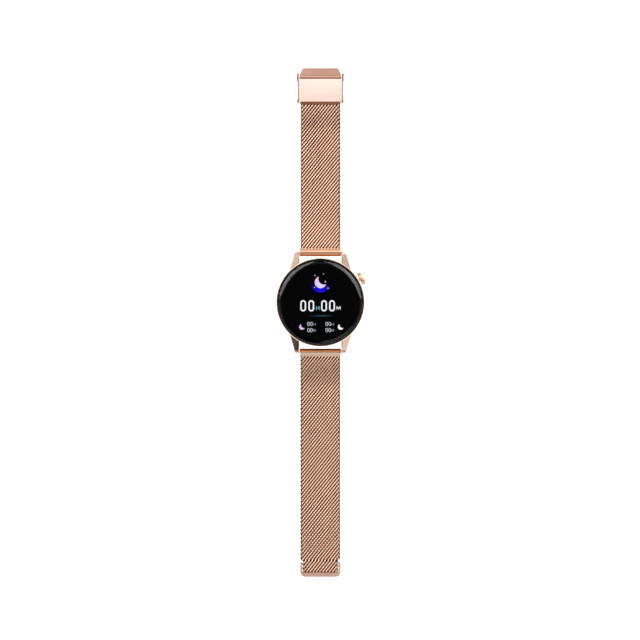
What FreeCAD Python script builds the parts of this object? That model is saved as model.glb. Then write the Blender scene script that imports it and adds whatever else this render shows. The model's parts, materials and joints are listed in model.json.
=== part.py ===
import FreeCAD, Part
import math
import os

from FreeCAD import Rotation, Vector

# Round smartwatch with a woven mesh strap laid out flat, in millimetres.
# +X points to the crown side, +Y to 12 o'clock, +Z out of the screen.
# The origin is the centre of the sensor window's resting face.

# ---- Case ------------------------------------------------------------------
CASE_R = 21.4            # outside radius of the mid case
CAVITY_R = 18.6          # radius of the space inside the mid case
RIM = 0.37               # width of the metal rim around the screen
BACK_Z = 0.4             # underside of the back cover
CASE_BOTTOM_Z = 1.6      # underside of the mid case
LEDGE_Z = 7.7            # ledge that the screen stack sits on
CASE_TOP_Z = 8.9         # top of the metal rim
GLASS_TOP_Z = 10.4       # top of the cover glass
GLASS_FLAT_R = 17.9      # flat part of the cover glass
GLASS_R = 20.45          # edge of the cover glass
GLASS_EDGE_DEG = 48.0    # slope of the glass's shoulder at its edge
GLASS_UNDER_Z = 8.6      # underside of the cover glass
SENSOR_R = 10.5          # radius of the sensor window

# ---- Crown -----------------------------------------------------------------
CROWN_ANGLE = 30.6       # direction of the crown, degrees above +X
CROWN_Z = 5.2            # height of the crown's axis
CROWN_R = 3.2
CROWN_INNER = 22.0       # inner face of the crown, from the case centre
FLUTES = 12
STEM_R = 0.8
FIT = 0.05               # radial clearance of a running fit

# ---- Strap -----------------------------------------------------------------
LUG_X = 10.15            # inner face of a lug
LUG_BEVEL = 0.45         # width of the bevels beside a lug's top facet
LUG_SLOPE = 0.35         # fall of the top facet towards the lug's tip
LUG_ROOT_Z = 8.4         # height of the top facet where the lug leaves the case
LUG_ROOT_Y = 14.5
BAR_Y = 23.5             # distance of a spring bar's axis from the case centre
BAR_Z = 3.5              # height of a spring bar's axis
BAR_R = 0.75
FITTING_HALF = 10.0      # half the width of a strap end fitting
MESH_HALF = 9.8          # half the width of the mesh
MESH_T = 1.5             # thickness of the mesh
MESH_START = 26.1        # where each mesh begins
ROW = 0.98               # pitch of the woven rows
ROWS_PER_STRETCH = 12
SHORT_STRETCHES = 6
LONG_STRETCHES = 9
STRETCH = ROW * ROWS_PER_STRETCH
STRETCH_GAP = 0.5        # room between stretches so that they can bend
DROP = 15.0              # length over which a mesh comes down to the table
BORDER = 1.1             # width of the soldered border's side bands
BORDER_FOOT = 2.1        # width of its band across the end
BORDER_START = 126.0
BORDER_END = 133.2

# ---- Clasp -----------------------------------------------------------------
PIN_Y = 97.6             # axis of the pin at the short mesh's end
PIN_Z = 3.3
PIN_R = 0.45
PLATE_START = 97.2       # lower edge of the polished plate
PLATE_END = 108.2
PLATE_HALF = 10.3
WALL_HALF = 10.95        # outside of the clasp's side walls
PLATE_UNDER_Z = 4.4
PLATE_TOP_Z = 5.0
LEVER_Y = 109.3          # axis of the locking lever
LEVER_Z = 1.1
LEVER_PIN_R = 0.5
TAB_END = 113.8

ORIGIN = Vector(0, 0, 0)
X_AXIS = Vector(1, 0, 0)
Y_AXIS = Vector(0, 1, 0)
Z_AXIS = Vector(0, 0, 1)


# ---- Helpers ---------------------------------------------------------------
def save(name, shape):
    shape.exportStep(f"parts/{name}.step")
    print(f"{name}: {shape.Volume:.2f} mm3, {len(shape.Solids)} solid(s)")


def box(x0, x1, y0, y1, z0, z1):
    return Part.makeBox(x1 - x0, y1 - y0, z1 - z0, Vector(x0, y0, z0))


def disc(radius, z0, z1, x=0.0, y=0.0):
    return Part.makeCylinder(radius, z1 - z0, Vector(x, y, z0))


def ring(outer, inner, z0, z1):
    return disc(outer, z0, z1).cut(disc(inner, z0, z1))


def rod_x(radius, x0, x1, y, z):
    return Part.makeCylinder(radius, x1 - x0, Vector(x0, y, z), X_AXIS)


def turned(points):
    """A solid turned about Z from (radius, height) points."""
    corners = [Vector(r, 0, z) for r, z in points]
    wire = Part.makePolygon(corners + corners[:1])
    return Part.Face(wire).revolve(ORIGIN, Z_AXIS, 360)


def plate_xy(points, z0, z1):
    """A flat plate with an outline of (x, y) points."""
    corners = [Vector(x, y, z0) for x, y in points]
    wire = Part.makePolygon(corners + corners[:1])
    return Part.Face(wire).extrude(Vector(0, 0, z1 - z0))


def bar_yz(points, half_width):
    """A bar across the strap with a section of (y, z) points."""
    corners = [Vector(-half_width, y, z) for y, z in points]
    wire = Part.makePolygon(corners + corners[:1])
    return Part.Face(wire).extrude(Vector(2 * half_width, 0, 0))


def mirror_x(shape):
    return shape.mirror(ORIGIN, X_AXIS)


def mirror_y(shape):
    return shape.mirror(ORIGIN, Y_AXIS)


def on_crown_axis(shape):
    """Move a shape made along +Z from the origin onto the crown's axis, with its -X upwards."""
    turn = Rotation(Z_AXIS, CROWN_ANGLE) * Rotation(Y_AXIS, 90)
    placed = shape.copy()
    placed.Placement = FreeCAD.Placement(Vector(0, 0, CROWN_Z), turn) * placed.Placement
    return placed


def coil(mean_r, wire_r, pitch, height):
    """A compression spring along +Z, starting at the origin."""
    path = Part.Wire(Part.makeHelix(pitch, height, mean_r))
    section = Part.Wire(Part.makeCircle(wire_r, Vector(mean_r, 0, 0), Y_AXIS))
    return path.makePipeShell([section], True, True)


# ---- Mid case --------------------------------------------------------------
def lug_section(y, outer_x, bottom_z, drop):
    """One facetted section of the lug at the upper right, lowered by drop at its tip."""
    top_z = LUG_ROOT_Z - LUG_SLOPE * (y - LUG_ROOT_Y) - drop
    height = top_z - bottom_z
    points = [
        (LUG_X, bottom_z),
        (outer_x - 0.5, bottom_z),
        (outer_x, bottom_z + 0.25 * height),
        (outer_x, top_z - 0.30 * height),
        (outer_x - LUG_BEVEL, top_z - 0.08),
        (LUG_X + LUG_BEVEL, top_z),
        (LUG_X, top_z - 0.12 * height),
    ]
    corners = [Vector(x, y, z) for x, z in points]
    return Part.makePolygon(corners + corners[:1])


def lug():
    sections = [
        lug_section(13.0, 16.6, 2.0, 0.0),
        lug_section(16.0, 14.95, 1.9, 0.0),
        lug_section(20.0, 13.65, 1.8, 0.0),
        lug_section(23.2, 12.85, 1.8, 0.0),
        lug_section(24.1, 12.45, 2.0, 0.2),
        lug_section(24.8, 11.8, 2.5, 0.8),
    ]
    return Part.makeLoft(sections, True, True)


def case_body():
    top_inner = CASE_R - RIM
    wall = turned([
        (CAVITY_R, CASE_BOTTOM_Z), (20.2, CASE_BOTTOM_Z), (21.15, 2.5), (CASE_R, 3.6),
        (CASE_R, 8.6), (top_inner + 0.08, CASE_TOP_Z), (top_inner, CASE_TOP_Z),
        (top_inner, LEDGE_Z), (CAVITY_R, LEDGE_Z),
    ])
    upper_right = lug()
    right = [upper_right, mirror_y(upper_right)]
    lugs = right + [mirror_x(one) for one in right]
    cavity = disc(CAVITY_R, 0, LEDGE_Z + 0.01)
    pocket = disc(top_inner, LEDGE_Z, GLASS_TOP_Z)
    body = wall
    for one in lugs:
        body = body.fuse(one.cut(cavity).cut(pocket))
    body = body.fuse(on_crown_axis(disc(2.6, 20.3, 21.6)).cut(cavity))
    body = body.cut(on_crown_axis(disc(1.5, 17.0, 22.5)))
    for side in (1, -1):
        body = body.cut(rod_x(0.42, -11.35, 11.35, side * BAR_Y, BAR_Z))
    return body.removeSplitter()


def cover_glass():
    """Flat in the middle, with a round shoulder that drops to the black ring."""
    slope = math.radians(GLASS_EDGE_DEG)
    radius = (GLASS_R - GLASS_FLAT_R) / math.sin(slope)

    def shoulder_point(angle):
        return Vector(GLASS_FLAT_R + radius * math.sin(angle), 0, GLASS_TOP_Z - radius * (1 - math.cos(angle)))

    shoulder = Part.Arc(shoulder_point(0), shoulder_point(slope / 2), shoulder_point(slope)).toShape()
    corners = [
        shoulder_point(slope), Vector(GLASS_R, 0, GLASS_UNDER_Z), Vector(0, 0, GLASS_UNDER_Z),
        Vector(0, 0, GLASS_TOP_Z), shoulder_point(0),
    ]
    edges = [Part.makeLine(a, b) for a, b in zip(corners, corners[1:])]
    wire = Part.Wire(Part.__sortEdges__([shoulder] + edges))
    return Part.Face(wire).revolve(ORIGIN, Z_AXIS, 360)


def bezel_ring():
    """Black ring under the glass's edge, with a lip that stands around it."""
    shelf_z = GLASS_UNDER_Z - 0.1
    lip_inner = GLASS_R + FIT
    lip_outer = CASE_R - RIM - 0.05
    return turned([
        (GLASS_FLAT_R, LEDGE_Z), (lip_outer, LEDGE_Z), (lip_outer, 9.1), (lip_outer - 0.1, 9.2),
        (lip_inner + 0.1, 9.2), (lip_inner, 9.1), (lip_inner, shelf_z), (GLASS_FLAT_R, shelf_z),
    ])


def screen_stack():
    save("bezel_ring", bezel_ring())
    save("glass_seal", ring(GLASS_R - 0.15, GLASS_FLAT_R + 0.2, GLASS_UNDER_Z - 0.1, GLASS_UNDER_Z))
    save("cover_glass", cover_glass())
    save("display_panel", disc(17.7, 7.9, 8.55))
    flex = bar_yz([(-15.0, 6.9), (-9.0, 6.9), (-9.0, 7.9), (-9.3, 7.9), (-9.3, 7.2), (-15.0, 7.2)], 4.0)
    save("display_flex", flex)


# ---- Inside ----------------------------------------------------------------
def crown_notch(z0, z1):
    """Clears the crown's stem, spring and switch."""
    notch = box(10.6, 19.0, -2.4, 2.4, z0, z1)
    notch.rotate(ORIGIN, Z_AXIS, CROWN_ANGLE)
    return notch


def inner_frame():
    wall = ring(18.5, 17.4, 2.9, 7.3)
    shelf = ring(17.4, 14.0, 5.35, 5.6)
    frame = wall.fuse(shelf).cut(crown_notch(3.5, 7.4))
    pad = box(10.9, 18.3, -2.2, 2.2, 3.1, 3.5)
    pad.rotate(ORIGIN, Z_AXIS, CROWN_ANGLE)
    return frame.fuse(pad.common(disc(18.5, 3.0, 3.6))).removeSplitter()


def main_board():
    return disc(17.2, 5.6, 6.2).cut(crown_notch(5.0, 7.0))


def board_chips():
    """Processor, memory, radio, power and sensor chips on the board."""
    chips = [
        (-9.0, 3.0, 7.0, 7.0, 0.9), (1.0, 5.5, 5.0, 4.0, 0.7), (-7.0, 11.5, 4.0, 3.0, 0.6),
        (2.0, -3.0, 4.0, 4.0, 0.7), (8.5, -6.0, 3.0, 3.5, 0.6), (-10.5, -5.0, 3.0, 3.0, 0.6),
        (4.5, -10.5, 3.5, 2.5, 0.5), (-4.0, -3.0, 2.0, 3.0, 0.5),
    ]
    solids = []
    for x, y, width, depth, height in chips:
        solids.append(box(x - width / 2, x + width / 2, y - depth / 2, y + depth / 2, 6.2, 6.2 + height))
    return Part.makeCompound(solids)


def battery():
    pack = box(-13.3, 4.7, -9.8, 9.8, 2.7, 5.2)
    upright = [e for e in pack.Edges if abs(e.tangentAt(e.FirstParameter).z) > 0.9]
    return pack.makeFillet(2.0, upright)


MOTOR_X = 10.6
MOTOR_Y = -6.2


def vibration_motor():
    shell = disc(4.2, 2.5, 5.3, MOTOR_X, MOTOR_Y)
    hollow = disc(3.8, 2.8, 5.0, MOTOR_X, MOTOR_Y)
    axle = disc(0.4, 2.8, 5.0, MOTOR_X, MOTOR_Y)
    save("motor_housing", shell.cut(hollow).fuse(axle))
    hub = disc(1.2, 3.2, 4.6, MOTOR_X, MOTOR_Y)
    half = disc(3.5, 3.2, 4.6, MOTOR_X, MOTOR_Y)
    half = half.common(box(MOTOR_X, MOTOR_X + 4, MOTOR_Y - 4, MOTOR_Y + 4, 3.0, 5.0))
    rotor = hub.fuse(half).cut(disc(0.4 + FIT, 3.0, 5.0, MOTOR_X, MOTOR_Y))
    save("motor_rotor", rotor)


def case_back():
    plate = turned([(0, BACK_Z), (18.6, BACK_Z), (19.9, 1.0), (20.1, CASE_BOTTOM_Z), (0, CASE_BOTTOM_Z)])
    spigot = ring(18.5, 17.2, CASE_BOTTOM_Z, 2.8)
    groove = ring(18.6, 18.0, 1.9, 2.5)
    cover = plate.fuse(spigot).cut(groove).cut(disc(SENSOR_R + 0.02, 0, 2.0))
    screw_places = [(15.2 * math.cos(a), 15.2 * math.sin(a)) for a in
                    (math.radians(45 + 90 * k) for k in range(4))]
    contact_places = [(-2.0, -13.0), (2.0, -13.0)]
    magnet_places = [(-13.0, 0.0), (13.0, 0.0)]
    screws = []
    for x, y in screw_places:
        head = disc(0.9, 0.45, 0.9, x, y)
        slot = box(x - 0.6, x + 0.6, y - 0.12, y + 0.12, 0.4, 0.65)
        shank = disc(0.5, 0.9, CASE_BOTTOM_Z, x, y)
        cover = cover.cut(disc(0.9, 0, 0.9, x, y)).cut(disc(0.5, 0.8, 2.0, x, y))
        screws.append(head.fuse(shank).cut(slot))
    contacts = []
    for x, y in contact_places:
        cover = cover.cut(disc(0.8, 0, 2.0, x, y))
        contacts.append(disc(0.8, 0.35, CASE_BOTTOM_Z, x, y))
    magnets = []
    for x, y in magnet_places:
        magnets.append(disc(1.6, 1.6, 2.5, x, y))
    save("back_cover", cover.removeSplitter())
    save("back_seal", Part.makeTorus(18.3, 0.28, Vector(0, 0, 2.2)))
    save("back_screws", Part.makeCompound(screws))
    save("charge_contacts", Part.makeCompound(contacts))
    save("charge_magnets", Part.makeCompound(magnets))
    window = turned([(0, 0), (9.4, 0), (SENSOR_R, 0.45), (SENSOR_R, 1.5), (0, 1.5)])
    save("sensor_window", window)
    save("sensor_board", disc(9.5, 1.6, 2.3))


# ---- Crown -----------------------------------------------------------------
def crown():
    """Made along the crown's axis; heights are distances from the case centre."""
    tube = disc(1.5, 17.4, 21.6).cut(disc(STEM_R + FIT, 17.0, 22.5))
    save("crown_tube", on_crown_axis(tube))
    clip_groove = ring(1.0, 0.55, 17.05, 17.35)
    seal_groove = ring(1.0, 0.6, 19.7, 20.3)
    stem = disc(STEM_R, 13.9, 22.9).cut(clip_groove).cut(seal_groove)
    save("crown_stem", on_crown_axis(stem))
    clip = ring(1.35, 0.55, 17.05, 17.35)
    clip = clip.cut(box(0, 2, -0.5, 0.5, 17.0, 17.4))
    save("crown_clip", on_crown_axis(clip))
    save("crown_seal", on_crown_axis(Part.makeTorus(0.71, 0.12, Vector(0, 0, 20.0))))
    knob = turned([
        (0, CROWN_INNER), (2.75, CROWN_INNER), (CROWN_R - 0.1, 22.25), (CROWN_R, 22.5), (CROWN_R, 23.2),
        (CROWN_R - 0.25, 23.65), (2.3, 23.95), (1.2, 24.1), (0, 24.15),
    ])
    for k in range(FLUTES):
        flute = disc(0.45, 21.9, 23.3, CROWN_R + 0.15, 0)
        flute = flute.fuse(Part.makeSphere(0.45, Vector(CROWN_R + 0.15, 0, 23.3)))
        flute.rotate(ORIGIN, Z_AXIS, 360.0 * k / FLUTES)
        knob = knob.cut(flute)
    save("crown_knob", on_crown_axis(knob.cut(disc(STEM_R, 21.9, 22.9))))
    save("crown_washer", on_crown_axis(ring(1.35, STEM_R + FIT, 16.75, 17.0)))
    spring = coil(1.05, 0.15, 0.7, 2.1)
    spring.translate(Vector(0, 0, 14.3))
    save("crown_spring", on_crown_axis(spring))
    switch = box(-1.2, 1.2, -1.9, 1.9, 11.2, 13.4)
    switch = switch.fuse(ring(1.35, 0.95, 13.4, 14.1))
    switch = switch.cut(disc(0.6 + FIT, 12.3, 13.5))
    save("crown_switch", on_crown_axis(switch))
    save("switch_plunger", on_crown_axis(disc(0.6, 12.85, 13.85)))


# ---- Strap -----------------------------------------------------------------
def spring_bar(name, side):
    """A barrel with one fixed and one sliding tip, held between two lugs."""
    y = side * BAR_Y
    barrel = rod_x(BAR_R, -9.4, 9.4, y, BAR_Z).fuse(rod_x(0.35, -11.0, -9.4, y, BAR_Z))
    barrel = barrel.cut(rod_x(0.5, 2.0, 9.4, y, BAR_Z))
    save(f"{name}_bar_barrel", barrel)
    tip = rod_x(0.45, 7.6, 9.2, y, BAR_Z).fuse(rod_x(0.35, 9.2, 11.0, y, BAR_Z))
    save(f"{name}_bar_tip", tip)
    spring = coil(0.34, 0.08, 0.5, 5.4)
    spring.rotate(ORIGIN, Y_AXIS, 90)
    spring.translate(Vector(2.1, y, BAR_Z))
    save(f"{name}_bar_spring", spring)


def end_fitting(side):
    """Tube round the spring bar, with the jaws that hold the mesh."""
    tube = rod_x(1.22, -FITTING_HALF, FITTING_HALF, BAR_Y, BAR_Z)
    ends = [e for e in tube.Edges if e.Curve.TypeId == "Part::GeomCircle"]
    tube = tube.makeChamfer(0.3, ends)
    jaws = bar_yz([
        (BAR_Y, 2.55), (24.6, 2.55), (25.15, 2.7), (25.2, 2.9), (25.4, 2.9), (25.45, 2.65),
        (MESH_START - 0.1, 2.7), (MESH_START, 2.8), (MESH_START, 4.2), (MESH_START - 0.1, 4.3),
        (25.45, 4.35), (25.4, 4.1), (25.2, 4.1), (25.15, 4.3), (24.6, 4.45), (BAR_Y, 4.45),
    ], FITTING_HALF - 0.1)
    fitting = tube.fuse(jaws).cut(rod_x(BAR_R + 0.08, -11, 11, BAR_Y, BAR_Z)).removeSplitter()
    return fitting if side > 0 else mirror_y(fitting)


def smooth(t):
    t = min(max(t, 0.0), 1.0)
    return t * t * (3.0 - 2.0 * t)


def mesh_height(distance, rises):
    """Height of the mesh's mid plane at a distance from the case centre."""
    flat = MESH_T / 2
    height = flat + (BAR_Z - flat) * (1.0 - smooth((distance - MESH_START) / DROP))
    if rises:
        height += (PIN_Z - flat) * smooth((distance - (PIN_Y - 1.6 - DROP)) / DROP)
    return height


def mesh_slab(start, end, rises, half_width):
    """One stretch of mesh, which follows the mid plane's curve."""
    steps = 6
    places = [start + (end - start) * k / steps for k in range(steps + 1)]
    upper = [(y, mesh_height(y, rises) + MESH_T / 2) for y in places]
    lower = [(y, mesh_height(y, rises) - MESH_T / 2) for y in reversed(places)]
    if abs(upper[0][1] - upper[-1][1]) + abs(upper[0][1] - upper[steps // 2][1]) < 0.001:
        upper = [upper[0], upper[-1]]
        lower = [lower[0], lower[-1]]
    return bar_yz(upper + lower, half_width)


def mesh(name, side, stretches, rises, last_end):
    for k in range(stretches):
        start = MESH_START + k * STRETCH + (STRETCH_GAP / 2 if k else 0.0)
        end = MESH_START + (k + 1) * STRETCH - STRETCH_GAP / 2
        if k == stretches - 1:
            end = last_end
        slab = mesh_slab(start, end, rises, MESH_HALF)
        if k == stretches - 1 and not rises:
            slab = slab.cut(border_sides())
        save(f"{name}_mesh_{k + 1}", slab if side > 0 else mirror_y(slab))


def border_sides():
    """Room for the border's side bands beside the last stretch."""
    inner_half = MESH_HALF - BORDER
    right = box(inner_half, MESH_HALF + 1, BORDER_START, BORDER_END, -1, MESH_T + 1)
    return right.fuse(mirror_x(right))


def mesh_border():
    """Solid U-shaped border around the free end of the long mesh."""
    outer = box(-MESH_HALF, MESH_HALF, BORDER_START, BORDER_END, 0, MESH_T)
    corners = [e for e in outer.Edges
               if abs(e.tangentAt(e.FirstParameter).z) > 0.9 and e.Vertexes[0].Point.y > BORDER_END - 1]
    outer = outer.makeFillet(2.5, corners)
    inner_half = MESH_HALF - BORDER
    inner = box(-inner_half, inner_half, BORDER_START - 1, BORDER_END - BORDER_FOOT, -1, MESH_T + 1)
    return outer.cut(inner)


# ---- Clasp -----------------------------------------------------------------
def short_mesh_end_tube():
    """Tube on the clasp's pin, with the jaws that hold the short mesh."""
    tube = rod_x(0.95, -9.9, 9.9, PIN_Y, PIN_Z)
    jaws = bar_yz([
        (PIN_Y - 1.6, PIN_Z - 0.55), (PIN_Y, PIN_Z - 0.75),
        (PIN_Y, PIN_Z + 0.75), (PIN_Y - 1.6, PIN_Z + 0.55),
    ], 9.8)
    return tube.fuse(jaws).cut(rod_x(PIN_R + FIT, -11, 11, PIN_Y, PIN_Z)).removeSplitter()


def clasp_frame():
    """Crowned top plate, two side walls, and ears for the two pins."""
    crown_mid = (PLATE_START + PLATE_END) / 2
    top = Part.Arc(
        Vector(-PLATE_HALF, PLATE_START, PLATE_TOP_Z - 0.12), Vector(-PLATE_HALF, crown_mid, PLATE_TOP_Z),
        Vector(-PLATE_HALF, PLATE_END, PLATE_TOP_Z - 0.12),
    ).toShape()
    corners = [
        Vector(-PLATE_HALF, PLATE_END, PLATE_TOP_Z - 0.12), Vector(-PLATE_HALF, PLATE_END, PLATE_UNDER_Z),
        Vector(-PLATE_HALF, PLATE_START, PLATE_UNDER_Z), Vector(-PLATE_HALF, PLATE_START, PLATE_TOP_Z - 0.12),
    ]
    edges = [Part.makeLine(a, b) for a, b in zip(corners, corners[1:])]
    section = Part.Face(Part.Wire(Part.__sortEdges__([top] + edges)))
    frame = section.extrude(Vector(2 * PLATE_HALF, 0, 0))
    inner_wall = PLATE_HALF - 0.05
    side = bar_yz([
        (98.4, PLATE_TOP_Z - 0.4), (98.4, 2.2), (100.5, 0.0), (110.2, 0.0), (110.8, 0.6),
        (110.8, 1.7), (110.2, 2.3), (108.6, 2.6), (107.9, PLATE_TOP_Z - 0.4),
    ], WALL_HALF)
    side = side.cut(box(-inner_wall, inner_wall, 90, 120, -1, 6))
    lower_ears = bar_yz([
        (96.6, 2.9), (97.0, 2.45), (98.6, 2.45), (98.6, 4.3), (97.1, 4.3), (96.6, 3.9),
    ], 11.2)
    upper_ears = bar_yz([
        (107.3, 0.3), (111.3, 0.3), (111.3, 1.5), (110.9, 2.1), (107.7, 2.1), (107.3, 1.6),
    ], 11.3)
    ears = lower_ears.fuse(upper_ears).cut(box(-PLATE_HALF, PLATE_HALF, 90, 120, -1, 6))
    frame = frame.fuse(side).fuse(ears)
    frame = frame.cut(rod_x(PIN_R, -11, 11, PIN_Y, PIN_Z))
    frame = frame.cut(rod_x(LEVER_PIN_R, -11.1, 11.1, LEVER_Y, LEVER_Z))
    return frame.removeSplitter()


def clasp_lever():
    """Locking plate under the clasp, its knuckle, and the tab beyond the pin."""
    knuckle = rod_x(0.95, -10.0, 10.0, LEVER_Y, LEVER_Z)
    plate = box(-10.0, 10.0, 99.8, LEVER_Y, 0.15, 0.65)
    tooth = bar_yz([(99.8, 0.65), (100.9, 0.65), (100.1, 1.2), (99.8, 1.2)], 8.5)
    tab = plate_xy([(-10.0, LEVER_Y + 0.2), (10.0, LEVER_Y + 0.2), (10.0, 111.0), (8.5, TAB_END),
                    (-8.5, TAB_END), (-10.0, 111.0)], 0.5, 1.25)
    corners = [e for e in tab.Edges
               if abs(e.tangentAt(e.FirstParameter).z) > 0.9 and e.Vertexes[0].Point.y > TAB_END - 1]
    tab = tab.makeFillet(0.8, corners)
    lever = knuckle.fuse(plate).fuse(tooth).fuse(tab)
    return lever.cut(rod_x(LEVER_PIN_R + FIT, -11, 11, LEVER_Y, LEVER_Z)).removeSplitter()


# ---- Everything ------------------------------------------------------------
os.makedirs("parts", exist_ok=True)

save("case_body", case_body())
screen_stack()
save("inner_frame", inner_frame())
save("main_board", main_board())
save("board_chips", board_chips())
save("battery", battery())
vibration_motor()
case_back()
crown()
spring_bar("short", 1)
spring_bar("long", -1)
save("short_end_fitting", end_fitting(1))
save("long_end_fitting", end_fitting(-1))
mesh("short", 1, SHORT_STRETCHES, True, PIN_Y - 1.6)
mesh("long", -1, LONG_STRETCHES, False, BORDER_END - BORDER_FOOT)
save("long_mesh_border", mirror_y(mesh_border()))
save("short_mesh_end_tube", short_mesh_end_tube())
save("clasp_frame", clasp_frame())
save("clasp_mesh_pin", rod_x(PIN_R, -11.0, 11.0, PIN_Y, PIN_Z))
save("clasp_lever", clasp_lever())
save("clasp_lever_pin", rod_x(LEVER_PIN_R, -11.1, 11.1, LEVER_Y, LEVER_Z))
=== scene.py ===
import json
import math

import bpy
import numpy as np
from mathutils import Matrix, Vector

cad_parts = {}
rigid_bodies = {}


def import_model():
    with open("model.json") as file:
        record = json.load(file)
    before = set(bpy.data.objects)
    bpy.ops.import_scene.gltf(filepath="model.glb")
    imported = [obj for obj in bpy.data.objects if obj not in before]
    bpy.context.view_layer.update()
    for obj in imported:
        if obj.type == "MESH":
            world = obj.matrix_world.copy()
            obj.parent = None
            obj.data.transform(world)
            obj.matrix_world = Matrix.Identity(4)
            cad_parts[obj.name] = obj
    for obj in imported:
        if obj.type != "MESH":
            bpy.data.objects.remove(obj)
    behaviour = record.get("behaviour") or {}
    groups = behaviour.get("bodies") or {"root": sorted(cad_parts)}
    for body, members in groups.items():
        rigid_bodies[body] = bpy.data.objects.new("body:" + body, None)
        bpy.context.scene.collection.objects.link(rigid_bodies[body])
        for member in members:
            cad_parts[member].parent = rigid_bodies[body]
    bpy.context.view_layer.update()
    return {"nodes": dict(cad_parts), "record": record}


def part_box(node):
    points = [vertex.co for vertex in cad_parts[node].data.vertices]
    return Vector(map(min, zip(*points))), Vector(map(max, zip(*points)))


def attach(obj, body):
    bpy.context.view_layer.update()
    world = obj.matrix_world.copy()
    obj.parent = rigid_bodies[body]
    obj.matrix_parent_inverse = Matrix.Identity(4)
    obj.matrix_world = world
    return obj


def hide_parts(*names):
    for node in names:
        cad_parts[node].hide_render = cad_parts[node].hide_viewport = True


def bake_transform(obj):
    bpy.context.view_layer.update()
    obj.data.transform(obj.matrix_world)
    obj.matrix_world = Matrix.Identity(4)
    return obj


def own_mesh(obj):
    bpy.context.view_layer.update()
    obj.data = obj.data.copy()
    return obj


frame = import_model()
record = frame["record"]
JOINTS = {joint["name"]: joint for joint in record["behaviour"]["joints"]}
NODES = frame["nodes"]
MM = 0.001


# ---- Sizes read from the frame ---------------------------------------------
SLAB_LOW, SLAB_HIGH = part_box("short_mesh_3")
MESH_T = SLAB_HIGH.z - SLAB_LOW.z
MESH_HALF = SLAB_HIGH.x
FLAT_Z = (SLAB_HIGH.z + SLAB_LOW.z) / 2
MESH_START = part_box("short_end_fitting")[1].y
BAR_Z = JOINTS["short_strap_swing"]["pos_m"][2]
PIN_Z = JOINTS["clasp_swing"]["pos_m"][2]
RISE_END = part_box("short_mesh_end_tube")[0].y
STRETCH = JOINTS["short_strap_curl_2"]["pos_m"][1] - JOINTS["short_strap_curl_1"]["pos_m"][1]
BORDER_LOW, BORDER_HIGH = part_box("long_mesh_border")
BORDER_INNER = MESH_HALF - 1.1 * MM      # inside of the border's side bands
BORDER_FOOT = 2.1 * MM                   # width of its band across the end
DISPLAY_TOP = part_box("display_panel")[1].z
DROP = 15.0 * MM                         # length over which a mesh comes down to the table
FITTING_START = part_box("short_end_fitting")[0].y
SHORT_STRETCHES = 6
LONG_STRETCHES = 9

# ---- Weave -----------------------------------------------------------------
ROWS_PER_STRETCH = 12
ROW = STRETCH / ROWS_PER_STRETCH
COIL_PITCH = 1.565 * MM
WIRE_R = 0.27 * MM            # half the thickness of the rolled wire
WIRE_HALF_WIDTH = 0.34 * MM
CROSS_HALF_Y = 0.37 * MM      # wire that locks two rows together, inside the mesh
CROSS_HALF_Z = 0.18 * MM
# Exposure is painted light and shade: 1 paints a wire bright, 0 paints it dark.
CROSS_EXPOSURE = 0.25         # painted shade: how much light these wires are painted with
END_EXPOSURE = 0.45
EDGE_SHADE = 0.9 * MM         # painted shade in a strip along the mesh's two edges
EDGE_EXPOSURE = 0.12
HOOK_SHARE = 0.94             # how far neighbouring coils reach into each other, in wire radii
COIL_HALF_Y = ROW / 2 + WIRE_R * HOOK_SHARE
COIL_HALF_Z = 0.52 * MM
COIL_SQUARENESS = 0.65        # below 1 the coils' tops and bottoms are flatter than a sine wave
ROLLED_HALF = MESH_T / 2 - 0.015 * MM
LEAN = 0.45                   # how far the strokes lean along the strap
POINTS_PER_TURN = 16
WIRE_SIDES = 6
TINY = 1e-12

# ---- Springs and sensor ----------------------------------------------------
SENSOR_PART_T = 0.08 * MM
DIODE_X = 4.2 * MM
DIODE_HALF = (1.1 * MM, 1.4 * MM)
LED_HALF = (1.3 * MM, 0.9 * MM)

# ---- Screen ----------------------------------------------------------------
GLASS_FLAT_R = 17.9 * MM      # radius of the flat middle of the glass
GLASS_EDGE_DEG = 48.0         # its slope at the edge
GLASS_RINGS = (0.4, 0.8, 0.95)
GLASS_CREASE_DEG = 25.0
SHOULDER_STEPS = 24
GLASS_TURNS = 256
GLASS_TINT = 0.22             # share of light that the dark cover glass lets through
SCREEN_GAP = 0.005 * MM       # height of the first lit layer above the panel
SCREEN_THICK = 0.012 * MM
SCREEN_LAYER = 0.016 * MM
DIGIT_END_STEPS = 12
CRESCENT_DEG = (102, 338)     # where a crescent's outer edge starts and ends
CRESCENT_BITE = 0.98          # radius of its inner edge, in outer radii
CRESCENT_SHIFT = 0.60         # how far that is moved up and to the right
STAR_WAIST = 0.42

# ---- Shading ---------------------------------------------------------------
# Upright outer faces of some metals are painted a darker shade; these set where that starts.
UPRIGHT_Z = (0.88, 0.30)      # upward part of the normal where a face starts and ends to be upright
SIDE_FADE = 0.3 * MM
MOTTLE_SCALE = 60.0
GRAIN_SCALE = 900.0
GRAIN_DEPTH = 0.004 * MM


# ---- Material helpers ------------------------------------------------------
def material(name):
    """A new material, its node tree's nodes and links, and its shader."""
    mat = bpy.data.materials.new(name)
    mat.use_nodes = True
    nodes = mat.node_tree.nodes
    links = mat.node_tree.links
    return mat, nodes, links, nodes["Principled BSDF"]


def place(nodes, links, stretch=(1, 1, 1)):
    """Object coordinates, stretched for brushed or drawn grain."""
    coords = nodes.new("ShaderNodeTexCoord")
    mapping = nodes.new("ShaderNodeMapping")
    mapping.inputs["Scale"].default_value = stretch
    links.new(coords.outputs["Object"], mapping.inputs["Vector"])
    return mapping.outputs["Vector"]


def noise(nodes, links, where, scale, detail=3.0):
    texture = nodes.new("ShaderNodeTexNoise")
    texture.inputs["Scale"].default_value = scale
    texture.inputs["Detail"].default_value = detail
    links.new(where, texture.inputs["Vector"])
    return texture.outputs["Fac"]


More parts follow.
